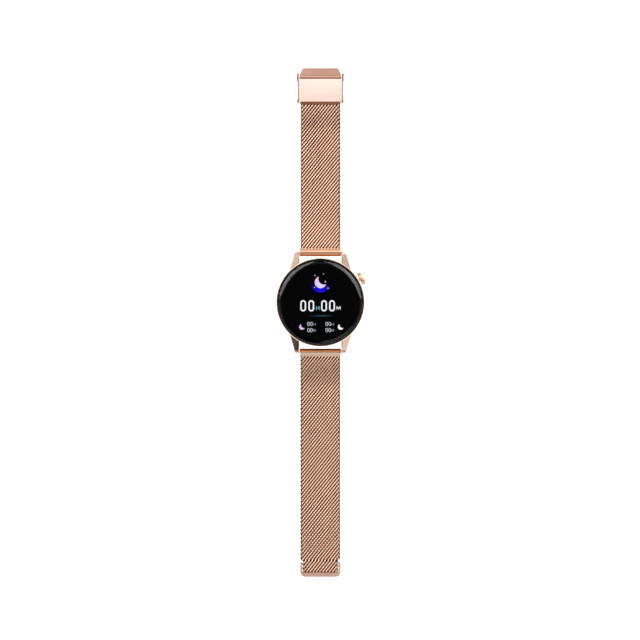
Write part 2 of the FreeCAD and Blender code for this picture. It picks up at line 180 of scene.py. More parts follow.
def ramp(nodes, links, factor, stops):
    """A colour ramp of (position, colour) stops."""
    node = nodes.new("ShaderNodeValToRGB")
    elements = node.color_ramp.elements
    while len(elements) < len(stops):
        elements.new(0.5)
    for element, (position, colour) in zip(elements, stops):
        element.position = position
        element.color = (*colour, 1.0) if len(colour) == 3 else colour
    links.new(factor, node.inputs["Fac"])
    return node.outputs["Color"]


def spread(nodes, links, factor, low, high):
    """Maps a 0 to 1 factor onto low to high."""
    node = nodes.new("ShaderNodeMapRange")
    node.inputs["To Min"].default_value = low
    node.inputs["To Max"].default_value = high
    links.new(factor, node.inputs["Value"])
    return node.outputs["Result"]


def bump(nodes, links, height, strength, distance):
    node = nodes.new("ShaderNodeBump")
    node.inputs["Strength"].default_value = strength
    node.inputs["Distance"].default_value = distance
    links.new(height, node.inputs["Height"])
    return node.outputs["Normal"]


def shade_painted_sides(nodes, links, tone, side, inner):
    """Tone on faces that look up, and the side colour as painted shade on upright faces that lie further out
    than inner.
    """
    coords = nodes.new("ShaderNodeTexCoord")
    facing = nodes.new("ShaderNodeSeparateXYZ")
    links.new(coords.outputs["Normal"], facing.inputs["Vector"])
    upright = nodes.new("ShaderNodeMapRange")
    upright.inputs["From Min"].default_value = UPRIGHT_Z[0]
    upright.inputs["From Max"].default_value = UPRIGHT_Z[1]
    links.new(facing.outputs["Z"], upright.inputs["Value"])
    level = nodes.new("ShaderNodeVectorMath")
    level.operation = "MULTIPLY"
    level.inputs[1].default_value = (1.0, 1.0, 0.0)
    links.new(coords.outputs["Object"], level.inputs[0])
    length = nodes.new("ShaderNodeVectorMath")
    length.operation = "LENGTH"
    links.new(level.outputs["Vector"], length.inputs[0])
    outside = nodes.new("ShaderNodeMapRange")
    outside.inputs["From Min"].default_value = inner
    outside.inputs["From Max"].default_value = inner + SIDE_FADE
    links.new(length.outputs["Value"], outside.inputs["Value"])
    share = nodes.new("ShaderNodeMath")
    share.operation = "MULTIPLY"
    links.new(upright.outputs["Result"], share.inputs[0])
    links.new(outside.outputs["Result"], share.inputs[1])
    mix = nodes.new("ShaderNodeMix")
    mix.data_type = "RGBA"
    mix.inputs["B"].default_value = (*side, 1.0)
    links.new(share.outputs["Value"], mix.inputs["Factor"])
    links.new(tone, mix.inputs["A"])
    return mix.outputs["Result"]


def banded(nodes, links, axis, low, high, stops):
    """Tones in bands by the distance from the middle along an axis."""
    coords = nodes.new("ShaderNodeTexCoord")
    parts = nodes.new("ShaderNodeSeparateXYZ")
    links.new(coords.outputs["Object"], parts.inputs["Vector"])
    distance = nodes.new("ShaderNodeMath")
    distance.operation = "ABSOLUTE"
    links.new(parts.outputs[axis], distance.inputs[0])
    share = nodes.new("ShaderNodeMapRange")
    share.inputs["From Min"].default_value = low
    share.inputs["From Max"].default_value = high
    links.new(distance.outputs["Value"], share.inputs["Value"])
    return ramp(nodes, links, share.outputs["Result"], stops)


def finish_metal(parts, tone, rough_low, rough_high, grain, scale, depth):
    """A metal surface of this tone; its roughness and height vary with one grain."""
    mat, nodes, links, shader = parts
    factor = noise(nodes, links, place(nodes, links, grain), scale)
    links.new(tone, shader.inputs["Base Color"])
    links.new(spread(nodes, links, factor, rough_low, rough_high), shader.inputs["Roughness"])
    links.new(bump(nodes, links, factor, 0.35, depth), shader.inputs["Normal"])
    shader.inputs["Metallic"].default_value = 1.0
    return mat


def metal(name, dark, light, rough_low, rough_high, grain=(1, 1, 1), scale=GRAIN_SCALE, depth=GRAIN_DEPTH,
          side=None, inner=0.0):
    """Metal that drifts from dark to light; its sides may be painted a darker shade."""
    parts = material(name)
    nodes, links = parts[1:3]
    broad = noise(nodes, links, place(nodes, links), MOTTLE_SCALE, 2.0)
    tone = ramp(nodes, links, broad, [(0.3, dark), (0.7, light)])
    if side:
        tone = shade_painted_sides(nodes, links, tone, side, inner)
    return finish_metal(parts, tone, rough_low, rough_high, grain, scale, depth)


def painted_light_metal(name, axis, low, high, stops, rough_low, rough_high, grain=(1, 1, 1), depth=GRAIN_DEPTH):
    """Metal with painted highlights and painted shade in bands along an axis."""
    parts = material(name)
    tone = banded(parts[1], parts[2], axis, low, high, stops)
    return finish_metal(parts, tone, rough_low, rough_high, grain, GRAIN_SCALE, depth)


def plastic(name, dark, light, rough_low, rough_high, scale=1500.0, depth=0.01 * MM):
    """Moulded plastic or rubber with a fine pebble."""
    mat, nodes, links, shader = material(name)
    factor = noise(nodes, links, place(nodes, links), scale)
    links.new(ramp(nodes, links, factor, [(0.35, dark), (0.65, light)]), shader.inputs["Base Color"])
    links.new(spread(nodes, links, factor, rough_low, rough_high), shader.inputs["Roughness"])
    links.new(bump(nodes, links, factor, 0.3, depth), shader.inputs["Normal"])
    return mat


def woven_wire():
    """Rose gold wire with painted highlight on the faces of the mesh and painted shade where it turns
    inwards.
    """
    mat, nodes, links, shader = material("woven_wire")
    exposure = nodes.new("ShaderNodeAttribute")
    exposure.attribute_name = "exposure"
    # The ramp runs from painted shade at exposure 0 to painted highlight at 1.
    tone = ramp(nodes, links, exposure.outputs["Fac"], [
        (0.0, (0.090, 0.030, 0.012)), (0.25, (0.16, 0.055, 0.025)),
        (0.50, (0.46, 0.20, 0.11)), (0.72, (0.92, 0.55, 0.385)), (1.0, (0.97, 0.64, 0.475)),
    ])
    links.new(tone, shader.inputs["Base Color"])
    # The painted light and shade also tints the wire's edge reflections.
    links.new(tone, shader.inputs["Specular Tint"])
    factor = noise(nodes, links, place(nodes, links), 2500.0)
    links.new(spread(nodes, links, factor, 0.36, 0.50), shader.inputs["Roughness"])
    links.new(bump(nodes, links, factor, 0.3, 0.004 * MM), shader.inputs["Normal"])
    shader.inputs["Metallic"].default_value = 1.0
    return mat


def clear_glass(name, tint, ior):
    mat, nodes, links, shader = material(name)
    factor = noise(nodes, links, place(nodes, links), 400.0)
    links.new(spread(nodes, links, factor, 0.0, 0.02), shader.inputs["Roughness"])
    shader.inputs["Base Color"].default_value = (*tint, 1.0)
    shader.inputs["Transmission Weight"].default_value = 1.0
    shader.inputs["IOR"].default_value = ior
    return mat


def laminated(name, dark, light):
    """Black bonded under the cover glass, so it has no gloss of its own."""
    mat = plastic(name, dark, light, 0.6, 0.8)
    mat.node_tree.nodes["Principled BSDF"].inputs["Specular IOR Level"].default_value = 0.0
    return mat


def circuit_board():
    """Green solder mask with lighter copper tracks."""
    mat, nodes, links, shader = material("circuit_board")
    cells = nodes.new("ShaderNodeTexVoronoi")
    cells.feature = "DISTANCE_TO_EDGE"
    cells.distance = "CHEBYCHEV"
    cells.inputs["Scale"].default_value = 500.0
    links.new(place(nodes, links), cells.inputs["Vector"])
    tone = ramp(nodes, links, cells.outputs["Distance"], [
        (0.04, (0.05, 0.24, 0.10)), (0.10, (0.01, 0.09, 0.04)),
    ])
    links.new(tone, shader.inputs["Base Color"])
    links.new(bump(nodes, links, cells.outputs["Distance"], 0.2, 0.02 * MM), shader.inputs["Normal"])
    shader.inputs["Roughness"].default_value = 0.4
    return mat


def lit(name, stops, reach, middle=(0.0, 0.0)):
    """A lit patch of the display that shades outwards over reach from its middle, given in mm."""
    mat, nodes, links, shader = material(name)
    coords = nodes.new("ShaderNodeTexCoord")
    shift = nodes.new("ShaderNodeVectorMath")
    shift.operation = "SUBTRACT"
    shift.inputs[1].default_value = (middle[0] * MM, middle[1] * MM, DISPLAY_TOP)
    links.new(coords.outputs["Object"], shift.inputs[0])
    length = nodes.new("ShaderNodeVectorMath")
    length.operation = "LENGTH"
    links.new(shift.outputs["Vector"], length.inputs[0])
    share = nodes.new("ShaderNodeMapRange")
    share.inputs["From Max"].default_value = reach
    links.new(length.outputs["Value"], share.inputs["Value"])
    tone = ramp(nodes, links, share.outputs["Result"], stops)
    links.new(tone, shader.inputs["Base Color"])
    links.new(tone, shader.inputs["Emission Color"])
    shader.inputs["Emission Strength"].default_value = 1.0 / GLASS_TINT
    shader.inputs["Roughness"].default_value = 0.6
    return mat


# Bands run from a fitting's bar to its mesh, and across each side wall of the clasp to its outside.
# The fittings' bands are painted: cream bands are painted highlights and dark bands painted shade in place
# of their rolled ribs.
SHORT_FITTING_LIGHT_AND_SHADE = [
    (0.0, (0.10, 0.04, 0.02)), (0.08, (0.22, 0.09, 0.04)),
    (0.16, (0.44, 0.18, 0.08)), (0.33, (0.46, 0.20, 0.09)),
    (0.40, (0.24, 0.14, 0.10)), (0.56, (0.26, 0.15, 0.11)),
    (0.62, (0.85, 0.47, 0.33)), (0.72, (0.85, 0.47, 0.33)),
    (0.78, (0.26, 0.12, 0.055)), (0.86, (0.28, 0.13, 0.06)),
    (0.93, (0.84, 0.57, 0.41)), (1.0, (0.84, 0.57, 0.41)),
]
LONG_FITTING_LIGHT_AND_SHADE = [
    (0.0, (0.10, 0.04, 0.02)), (0.08, (0.18, 0.06, 0.025)),
    (0.16, (0.26, 0.075, 0.02)), (0.26, (0.28, 0.08, 0.022)),
    (0.34, (0.85, 0.38, 0.17)), (0.42, (0.85, 0.38, 0.17)),
    (0.50, (0.66, 0.40, 0.29)), (0.56, (0.66, 0.40, 0.29)),
    (0.62, (1.0, 0.90, 0.78)), (0.74, (1.0, 0.90, 0.78)),
    (0.80, (0.74, 0.45, 0.29)), (0.88, (0.74, 0.45, 0.29)),
    (0.94, (1.0, 0.77, 0.64)), (1.0, (1.0, 0.77, 0.64)),
]
# The clasp's plate tone turns to painted shade across its side walls.
CLASP_WALL_SHADE = [
    (0.0, (0.95, 0.72, 0.63)), (0.12, (0.95, 0.72, 0.63)),
    (0.20, (0.70, 0.45, 0.37)), (0.55, (0.70, 0.45, 0.37)),
    (0.70, (0.12, 0.05, 0.035)), (1.0, (0.12, 0.05, 0.035)),
]
CLASP_WALL = (10.2 * MM, 10.9 * MM)
CASE_SIDE_R = 21.45 * MM      # upright faces of the case inside this radius keep the top's tone; further out they get painted shade

# A metal's side colour is painted shade on its upright outer faces.
MATERIALS = {
    "case_gold": metal("case_gold", (0.88, 0.62, 0.48), (0.93, 0.68, 0.55), 0.14, 0.18,
                       depth=0.0005 * MM, side=(0.42, 0.25, 0.18), inner=CASE_SIDE_R),
    "crown_gold": metal("crown_gold", (0.70, 0.34, 0.17), (0.78, 0.41, 0.22), 0.20, 0.30,
                        side=(0.34, 0.15, 0.06)),
    "short_fitting_gold": painted_light_metal("short_fitting_gold", "Y", FITTING_START, MESH_START,
                                       SHORT_FITTING_LIGHT_AND_SHADE, 0.42, 0.50, depth=0.001 * MM),
    "long_fitting_gold": painted_light_metal("long_fitting_gold", "Y", FITTING_START, MESH_START,
                                      LONG_FITTING_LIGHT_AND_SHADE, 0.42, 0.50, depth=0.001 * MM),
    # The end tube's rose gold is painted dark brown as shade.
    "tube_shaded_gold": metal("tube_shaded_gold", (0.34, 0.15, 0.08), (0.44, 0.20, 0.11), 0.24, 0.34),
    "clasp_gold": painted_light_metal("clasp_gold", "X", *CLASP_WALL, CLASP_WALL_SHADE, 0.34, 0.44, (1, 30, 1)),
    "tab_gold": metal("tab_gold", (0.415, 0.235, 0.17), (0.50, 0.29, 0.22), 0.38, 0.55, (1, 40, 1),
                      side=(0.36, 0.18, 0.12)),
    "border_gold": metal("border_gold", (0.58, 0.36, 0.28), (0.66, 0.44, 0.35), 0.40, 0.55,
                         side=(0.30, 0.15, 0.09)),
    "woven_wire": woven_wire(),
    "steel": metal("steel", (0.50, 0.50, 0.51), (0.66, 0.66, 0.67), 0.22, 0.36),
    "gold_plate": metal("gold_plate", (0.75, 0.52, 0.20), (0.86, 0.64, 0.30), 0.18, 0.30),
    "black_ring": laminated("black_ring", (0.002, 0.002, 0.002), (0.004, 0.004, 0.004)),
    "cover_glass": clear_glass("cover_glass", (GLASS_TINT, GLASS_TINT, GLASS_TINT), 1.45),
    "sensor_glass": clear_glass("sensor_glass", (0.25, 0.22, 0.26), 1.5),
    "display_black": laminated("display_black", (0.0005, 0.0005, 0.0006), (0.001, 0.001, 0.0012)),
    "back_black": plastic("back_black", (0.018, 0.018, 0.020), (0.030, 0.030, 0.033), 0.32, 0.50),
    "seal_rubber": plastic("seal_rubber", (0.012, 0.012, 0.012), (0.025, 0.025, 0.025), 0.6, 0.8),
    "grey_plastic": plastic("grey_plastic", (0.05, 0.05, 0.055), (0.09, 0.09, 0.095), 0.45, 0.6),
    "amber_film": plastic("amber_film", (0.40, 0.18, 0.03), (0.55, 0.28, 0.06), 0.3, 0.45),
    "chip_black": plastic("chip_black", (0.015, 0.015, 0.017), (0.03, 0.03, 0.033), 0.5, 0.65),
    "foil": metal("foil", (0.35, 0.36, 0.38), (0.46, 0.47, 0.49), 0.35, 0.55, scale=500.0, depth=0.03 * MM),
    "led_white": plastic("led_white", (0.70, 0.74, 0.62), (0.82, 0.84, 0.72), 0.25, 0.40),
    "diode_violet": plastic("diode_violet", (0.10, 0.07, 0.13), (0.14, 0.10, 0.18), 0.15, 0.25),
    "circuit_board": circuit_board(),
}

NODE_MATERIALS = {
    "case_gold": ["case_body"],
    "crown_gold": ["crown_knob"],
    "short_fitting_gold": ["short_end_fitting"],
    "long_fitting_gold": ["long_end_fitting"],
    "tube_shaded_gold": ["short_mesh_end_tube"],
    "clasp_gold": ["clasp_frame"],
    "tab_gold": ["clasp_lever"],
    "border_gold": ["long_mesh_border"],
    "woven_wire": [name for name in NODES if "_mesh_" in name and name[-1].isdigit()],
    "steel": ["motor_housing", "motor_rotor", "back_screws", "charge_magnets", "crown_tube",
              "crown_stem", "crown_clip", "crown_washer", "crown_spring", "short_bar_barrel",
              "short_bar_tip", "short_bar_spring", "long_bar_barrel", "long_bar_tip",
              "long_bar_spring", "clasp_mesh_pin", "clasp_lever_pin"],
    "gold_plate": ["charge_contacts"],
    "black_ring": ["bezel_ring"],
    "cover_glass": ["cover_glass"],
    "sensor_glass": ["sensor_window"],
    "display_black": ["display_panel"],
    "back_black": ["back_cover"],
    "seal_rubber": ["glass_seal", "back_seal", "crown_seal"],
    "grey_plastic": ["inner_frame", "crown_switch", "switch_plunger"],
    "amber_film": ["display_flex"],
    "chip_black": ["board_chips"],
    "foil": ["battery"],
    "circuit_board": ["main_board", "sensor_board"],
}


def dress(obj, mat):
    if obj.data.materials:
        for index in range(len(obj.data.materials)):
            obj.data.materials[index] = mat
    else:
        obj.data.materials.append(mat)


for key, names in NODE_MATERIALS.items():
    for name in names:
        dress(NODES[name], MATERIALS[key])


# ---- Mesh building ---------------------------------------------------------
def piece(name, verts, faces, mat, body, smooth=True):
    """A new mesh object that rides on a body."""
    mesh = bpy.data.meshes.new(name)
    mesh.from_pydata([tuple(v) for v in verts], [], [tuple(f) for f in faces])
    mesh.update()
    if smooth:
        mesh.shade_smooth()
    obj = bpy.data.objects.new(name, mesh)
    bpy.context.scene.collection.objects.link(obj)
    dress(obj, mat)
    if body:
        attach(obj, body)
    return obj


# ---- Woven mesh ------------------------------------------------------------
def eased(t):
    t = np.clip(t, 0.0, 1.0)
    return t * t * (3.0 - 2.0 * t)


def mid_height(distance, rises):
    """Height of the mesh's mid plane at distances from the case centre."""
    height = FLAT_Z + (BAR_Z - FLAT_Z) * (1.0 - eased((distance - MESH_START) / DROP))
    if rises:
        height = height + (PIN_Z - FLAT_Z) * eased((distance - RISE_END + DROP) / DROP)
    return height


def wire_path(row_y, odd, half_width, rises):
    """Points along one row's flattened coil, which way is out of it, and its mid plane's height."""
    left = -half_width + WIRE_R
    turns = (2.0 * half_width - 2.0 * WIRE_R) / COIL_PITCH
    first = math.pi * (0.5 if odd else 1.5)
    count = int(turns * POINTS_PER_TURN)
    angle = first + np.linspace(0.0, 2.0 * math.pi * turns, count + 1)
    advance = angle - first + LEAN * (np.sin(2.0 * first) - np.sin(2.0 * angle))
    x = left + COIL_PITCH * advance / (2.0 * math.pi)
    x = np.clip(x, left, half_width - WIRE_R)
    y = row_y - COIL_HALF_Y * np.cos(angle)
    wave = np.sin(angle)
    middle = mid_height(y, rises)
    points = np.stack([x, y, middle + COIL_HALF_Z * np.sign(wave) * np.abs(wave) ** COIL_SQUARENESS], axis=1)
    outward = np.stack([np.zeros_like(x), -np.cos(angle), wave], axis=1)
    return points, outward, middle


def wire_tube(points, outward, middle):
    """A closed tube along the points, rolled flat at the mesh's two faces."""
    wave = outward[:, 2].copy()
    tangent = np.gradient(points, axis=0)
    tangent /= np.linalg.norm(tangent, axis=1)[:, None] + TINY
    across = np.cross(tangent, outward)
    across /= np.linalg.norm(across, axis=1)[:, None] + TINY
    outward = np.cross(across, tangent)
    around = np.arange(WIRE_SIDES) * 2.0 * math.pi / WIRE_SIDES
    thick = WIRE_R * outward[:, None, :] * np.cos(around)[None, :, None]
    wide = WIRE_HALF_WIDTH * across[:, None, :] * np.sin(around)[None, :, None]
    verts = points[:, None, :] + thick + wide
    level = verts[:, :, 2] - middle[:, None]
    verts[:, :, 2] = middle[:, None] + np.clip(level, -ROLLED_HALF, ROLLED_HALF)
    # Painted highlight where the wire faces out of the mesh, painted shade where it turns inwards.
    exposure = np.clip(thick[:, :, 2] / WIRE_R * wave[:, None], 0.0, 1.0)
    faces = []
    for i in range(len(points) - 1):
        a, b = i * WIRE_SIDES, (i + 1) * WIRE_SIDES
        for j in range(WIRE_SIDES):
            k = (j + 1) % WIRE_SIDES
            faces.append((a + j, a + k, b + k, b + j))
    end = (len(points) - 1) * WIRE_SIDES
    faces.append(tuple(reversed(range(WIRE_SIDES))))
    faces.append(tuple(end + j for j in range(WIRE_SIDES)))
    return verts.reshape(-1, 3), faces, exposure.reshape(-1)


def cross_wire(y, half_width, rises, exposure):
    """A closed straight wire across the strap, between two rows or at the mesh's end."""
    around = np.arange(WIRE_SIDES) * 2.0 * math.pi / WIRE_SIDES
    middle = mid_height(np.array(y), rises)
    ring = np.stack([np.zeros(WIRE_SIDES), y + CROSS_HALF_Y * np.cos(around),
                     middle + CROSS_HALF_Z * np.sin(around)], axis=1)
    reach = np.array([half_width - WIRE_R, 0.0, 0.0])
    faces = [tuple(range(WIRE_SIDES)), tuple(reversed(range(WIRE_SIDES, 2 * WIRE_SIDES)))]
    for j in range(WIRE_SIDES):
        k = (j + 1) % WIRE_SIDES
        faces.append((j, WIRE_SIDES + j, WIRE_SIDES + k, k))
    return np.concatenate([ring - reach, ring + reach]), faces, np.full(2 * WIRE_SIDES, exposure)


def weave(name, rows, side, rises, body, node_list, last_y=None):
    """Rows of coils hooked through each other, as one piece; the mesh ends at last_y."""
    verts, faces, exposures, start = [], [], [], 0
    for row in rows:
        row_y = MESH_START + (row + 0.5) * ROW
        half = MESH_HALF
        if not rises and row_y > -BORDER_HIGH.y - COIL_HALF_Y:
            half = BORDER_INNER
        wires = [wire_tube(*wire_path(row_y, row % 2, half, rises))]
        if row == 0:
            wires.append(cross_wire(MESH_START + CROSS_HALF_Y, half, rises, END_EXPOSURE))
        else:
            wires.append(cross_wire(row_y - ROW / 2, half, rises, CROSS_EXPOSURE))
        if row == rows[-1] and last_y:
            wires.append(cross_wire(row_y + ROW / 2, half, rises, END_EXPOSURE))
            wires.append(cross_wire(last_y - CROSS_HALF_Y, half, rises, END_EXPOSURE))
        for part, quads, exposure in wires:
            # Painted shade darkens the wires near the mesh's two edges.
            inset = half - np.abs(part[:, 0])
            exposure = exposure * np.clip(inset / EDGE_SHADE, EDGE_EXPOSURE, 1.0)
            verts.append(part * np.array([side, side, 1.0]))
            faces.extend([tuple(start + index for index in face) for face in quads])
            exposures.append(exposure)
            start += len(part)
    obj = piece(name, np.concatenate(verts), faces, MATERIALS["woven_wire"], body)
    # The wires' painted light and shade, stored per point.
    attribute = obj.data.attributes.new("exposure", "FLOAT", "POINT")
    attribute.data.foreach_set("value", np.concatenate(exposures).astype(np.float32))
    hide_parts(*node_list)
    return obj


def strap(name, side, stretches, rises, last_y):
    """One strap half: a piece for each hinge, and one at each end."""
    half_rows = ROWS_PER_STRETCH // 2
    last_row = int((last_y - MESH_START) / ROW - 0.5)
    weave(f"{name}_weave_0", range(half_rows), side, rises, f"{name}_strap_1", [f"{name}_mesh_1"])
    for k in range(1, stretches):
        rows = range(k * ROWS_PER_STRETCH - half_rows, k * ROWS_PER_STRETCH + half_rows)
        nodes = [f"{name}_mesh_{k + 1}"]
        obj = weave(f"{name}_weave_{k}", rows, side, rises, None, nodes)
        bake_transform(obj)
    rows = range(stretches * ROWS_PER_STRETCH - half_rows, last_row + 1)
    weave(f"{name}_weave_{stretches}", rows, side, rises, f"{name}_strap_{stretches}",
          [f"{name}_mesh_{stretches}"], last_y)


strap("short", 1, SHORT_STRETCHES, True, RISE_END)
strap("long", -1, LONG_STRETCHES, False, -BORDER_LOW.y - BORDER_FOOT)


# ---- Cover glass -----------------------------------------------------------
def smooth_glass():
    """The cover glass with a finely rounded shoulder, so that its reflections run clean."""
    low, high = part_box("cover_glass")
    radius = (high.x - GLASS_FLAT_R) / math.sin(math.radians(GLASS_EDGE_DEG))
    profile = [(GLASS_FLAT_R * share, high.z) for share in GLASS_RINGS]
    for k in range(SHOULDER_STEPS + 1):
        slope = math.radians(GLASS_EDGE_DEG * k / SHOULDER_STEPS)
        profile.append((GLASS_FLAT_R + radius * math.sin(slope), high.z - radius * (1.0 - math.cos(slope))))
    profile.append((high.x, low.z))
    turn = np.arange(GLASS_TURNS) * 2.0 * math.pi / GLASS_TURNS
    verts = [(r * math.cos(a), r * math.sin(a), z) for r, z in profile for a in turn]
    faces = [tuple(range(GLASS_TURNS)), tuple(reversed(range(len(verts) - GLASS_TURNS, len(verts))))]
    for ring in range(len(profile) - 1):
        start = ring * GLASS_TURNS
        for i in range(GLASS_TURNS):
            j = (i + 1) % GLASS_TURNS
            faces.append((start + i, start + GLASS_TURNS + i, start + GLASS_TURNS + j, start + j))
    cover = piece("clear_cover", verts, faces, MATERIALS["cover_glass"], "watch_case")
    cover.data.set_sharp_from_angle(angle=math.radians(GLASS_CREASE_DEG))
    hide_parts("cover_glass")
    return cover


glass = smooth_glass()


# ---- Springs and sensor parts ----------------------------------------------
def sprung(node, joint_name):
    """A spring as its own mesh, riding on its joint's parent body."""
    joint = JOINTS[joint_name]
    source = NODES[node]
    verts = [source.matrix_world @ vertex.co for vertex in source.data.vertices]
    faces = [tuple(face.vertices) for face in source.data.polygons]
    coil = piece(f"{node}_coil", verts, faces, MATERIALS["steel"], joint["parent"])
    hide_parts(node)
    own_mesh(coil)


def sensor_part(name, x, half, mat):
    """A small flat part on the underside of the sensor board."""
    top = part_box("sensor_board")[0].z
    low = (x - half[0], -half[1], top - SENSOR_PART_T)
    high = (x + half[0], half[1], top)
    verts = [(a, b, c) for a in (low[0], high[0]) for b in (low[1], high[1]) for c in (low[2], high[2])]
    faces = [(0, 1, 3, 2), (4, 6, 7, 5), (0, 4, 5, 1), (2, 3, 7, 6), (0, 2, 6, 4), (1, 5, 7, 3)]
    piece(name, verts, faces, mat, "watch_case", smooth=False)


sprung("crown_spring", "crown_push")
sprung("short_bar_spring", "short_bar_release")
sprung("long_bar_spring", "long_bar_release")
sensor_part("pulse_led", 0.0, LED_HALF, MATERIALS["led_white"])
sensor_part("photodiode_left", -DIODE_X, DIODE_HALF, MATERIALS["diode_violet"])
sensor_part("photodiode_right", DIODE_X, DIODE_HALF, MATERIALS["diode_violet"])


# ---- Lit shapes on the display ---------------------------------------------
def raised(name, outline, flat_faces, mat, layer):
    """A thin lit shape on the display; outline holds its loops of (x, y) points in mm."""
    low = DISPLAY_TOP + SCREEN_GAP + layer * SCREEN_LAYER
    points = [point for loop in outline for point in loop]
    count = len(points)
    verts = [(x * MM, y * MM, low) for x, y in points]
    verts += [(x * MM, y * MM, low + SCREEN_THICK) for x, y in points]
    faces = [tuple(reversed(face)) for face in flat_faces]
    faces += [tuple(count + index for index in face) for face in flat_faces]
    start = 0
    for loop in outline:
        for i in range(len(loop)):
            a, b = start + i, start + (i + 1) % len(loop)
            faces.append((a, b, count + b, count + a))
        start += len(loop)
    return piece(name, verts, faces, mat, "watch_case", smooth=False)


def prism(name, outline, mat, layer=1):
    """A lit shape with one outline."""
    return raised(name, [outline], [tuple(range(len(outline)))], mat, layer)


def arc(x, y, radius, start, end, steps=20, squeeze=1.0):
    """Points on an arc, in degrees."""
    turn = np.radians(np.linspace(start, end, steps))
    return [(x + radius * math.cos(a), y + squeeze * radius * math.sin(a)) for a in turn]


def zero(name, x, y, width, height, stroke, mat):
    """The digit 0, an upright ring with straight sides."""
    rise = (height - width) / 2
    loops = []
    for radius in (width / 2, width / 2 - stroke):
        top = arc(x, y + rise, radius, 0, 180, DIGIT_END_STEPS)
        loops.append(top + arc(x, y - rise, radius, 180, 360, DIGIT_END_STEPS))
    count = len(loops[0])
    flat = [(i, (i + 1) % count, count + (i + 1) % count, count + i) for i in range(count)]
    return raised(name, loops, flat, mat, 1)


def letter_h(name, x, y, width, height, stroke, mat):
    left, right, half = x - width / 2, x + width / 2, height / 2
    bar = stroke / 2
    outline = [
        (left, y - half), (left + stroke, y - half), (left + stroke, y - bar), (right - stroke, y - bar),
        (right - stroke, y - half), (right, y - half), (right, y + half), (right - stroke, y + half),
        (right - stroke, y + bar), (left + stroke, y + bar), (left + stroke, y + half), (left, y + half),
    ]
    return raised(name, [outline], [(0, 1, 2, 9, 10, 11), (2, 3, 8, 9), (3, 4, 5, 6, 7, 8)], mat, 1)


def letter_m(name, x, y, width, height, stroke, mat):
    left, right, half = x - width / 2, x + width / 2, height / 2
    armpit, valley_low, valley_high = y + half * 0.25, y - half * 0.75, y + half * 0.05
    outline = [
        (left, y - half), (left + stroke, y - half), (left + stroke, armpit), (x, valley_low),
        (right - stroke, armpit), (right - stroke, y - half), (right, y - half), (right, y + half),
        (right - stroke, y + half), (x, valley_high), (left + stroke, y + half), (left, y + half),
    ]
    flat = [(0, 1, 2, 10, 11), (2, 3, 9, 10), (3, 4, 8, 9), (4, 5, 6, 7, 8)]
    return raised(name, [outline], flat, mat, 1)


def moon(name, x, y, radius, mat):
    """A crescent that opens to the upper right."""
    outer = arc(x, y, radius, *CRESCENT_DEG, 30)
    shift = CRESCENT_SHIFT * radius
    start, end = (
        math.degrees(math.atan2(tip[1] - y - shift, tip[0] - x - shift)) for tip in (outer[-1], outer[0])
    )
    inner = arc(x + shift, y + shift, CRESCENT_BITE * radius, start, end - 360 if end > 0 else end, 24)
    return prism(name, outer + inner[1:-1], mat)


def star(name, x, y, reach, mat):
    points = []
    for k in range(8):
        far = reach if k % 2 == 0 else reach * STAR_WAIST
        points.append((x + far * math.cos(math.pi * k / 4), y + far * math.sin(math.pi * k / 4)))
    flat = [(1, 3, 5, 7), (7, 0, 1), (1, 2, 3), (3, 4, 5), (5, 6, 7)]
    return raised(name, [points], flat, mat, 1)


# Places and sizes on the display are in mm from its middle.
BOWL_MIDDLE = (0.0, 5.3)      # brightest point of the bowl
BOWL_GLOW = 6.0
BAR_MIDDLE = (0.6, -6.45)
BAR_REACH = 6.2
BAR_SQUEEZE = 0.05
STARS = [(-2.6, 12.95, 0.36), (1.5, 13.7, 0.28), (2.35, 9.95, 0.4), (3.65, 6.85, 0.45), (-2.8, 7.2, 0.34)]
DIGITS_X = (-8.3, -4.4, 1.75, 5.6)
DIGITS_Y = -1.65
UNITS_Y = -2.75
SMALL_GROUPS_X = (-5.75, 3.05)
SMALL_ROWS_Y = (-10.4, -13.4)
SMALL_DIGIT_STEP = 1.42
SMALL_UNIT_STEP = 2.85
SMALL_MOONS_Y = -11.85


